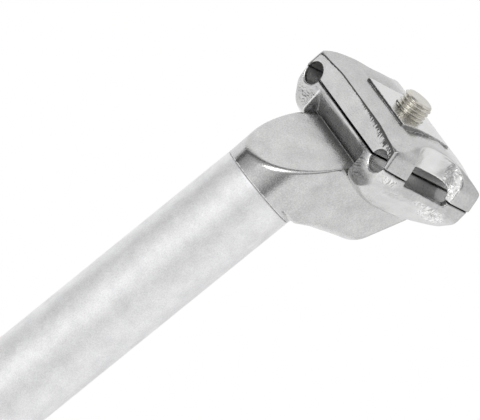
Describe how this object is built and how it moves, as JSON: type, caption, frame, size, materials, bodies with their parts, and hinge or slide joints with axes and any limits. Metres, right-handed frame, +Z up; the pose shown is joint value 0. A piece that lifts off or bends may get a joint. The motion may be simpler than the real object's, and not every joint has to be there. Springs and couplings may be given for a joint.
{
  "type": "bicycle seatpost",
  "caption": "Setback bicycle seatpost: a straight round tube, a forged head with a round cradle, and a tilting saddle-rail clamp closed by an upright bolt",
  "frame": {"origin": "Centre of the tube's lower end, where the tube's axis meets its end face", "axes": "+Z runs up the tube's axis to the head, +X points to the front of the bicycle and +Y to its left; the part is mirror-symmetric across the XZ plane"},
  "size_m": [0.0539, 0.0548, 0.3662],
  "materials": {
    "tube_metal": "fine bead-blasted silver anodised tube",
    "forged_metal": "satin silver forging with brighter edges",
    "washer_metal": "plain satin metal",
    "bolt_steel": "warm grey plated steel"
  },
  "bodies": {
    "post": {"post_tube": "tube_metal", "head": "forged_metal"},
    "lower_clamp": {"lower_clamp": "forged_metal", "rocker_washer": "washer_metal", "bolt_washer": "bolt_steel"},
    "upper_clamp": {"upper_clamp": "forged_metal"},
    "bolt": {"clamp_bolt": "bolt_steel"}
  },
  "joints": [
    {"name": "clamp_tilt", "type": "hinge", "parent": "post", "child": "lower_clamp", "pos_m": [-0.01429, 0, 0.36784], "axis": [0, 1, 0], "range_deg": [-10, 10]},
    {"name": "bolt_turn", "type": "hinge", "parent": "lower_clamp", "child": "bolt", "pos_m": [-0.0188, 0, 0.35], "axis": [-0.2453, 0, -0.9694], "range_deg": [0, 1440]},
    {"name": "clamp_open", "type": "slide", "parent": "lower_clamp", "child": "upper_clamp", "axis": [0.2453, 0, 0.9694], "range_m": [0, 0.005]}
  ],
  "couplings": [
    {"joint": "bolt_turn", "follows": "clamp_open", "rad_per_m": 5026.5}
  ]
}
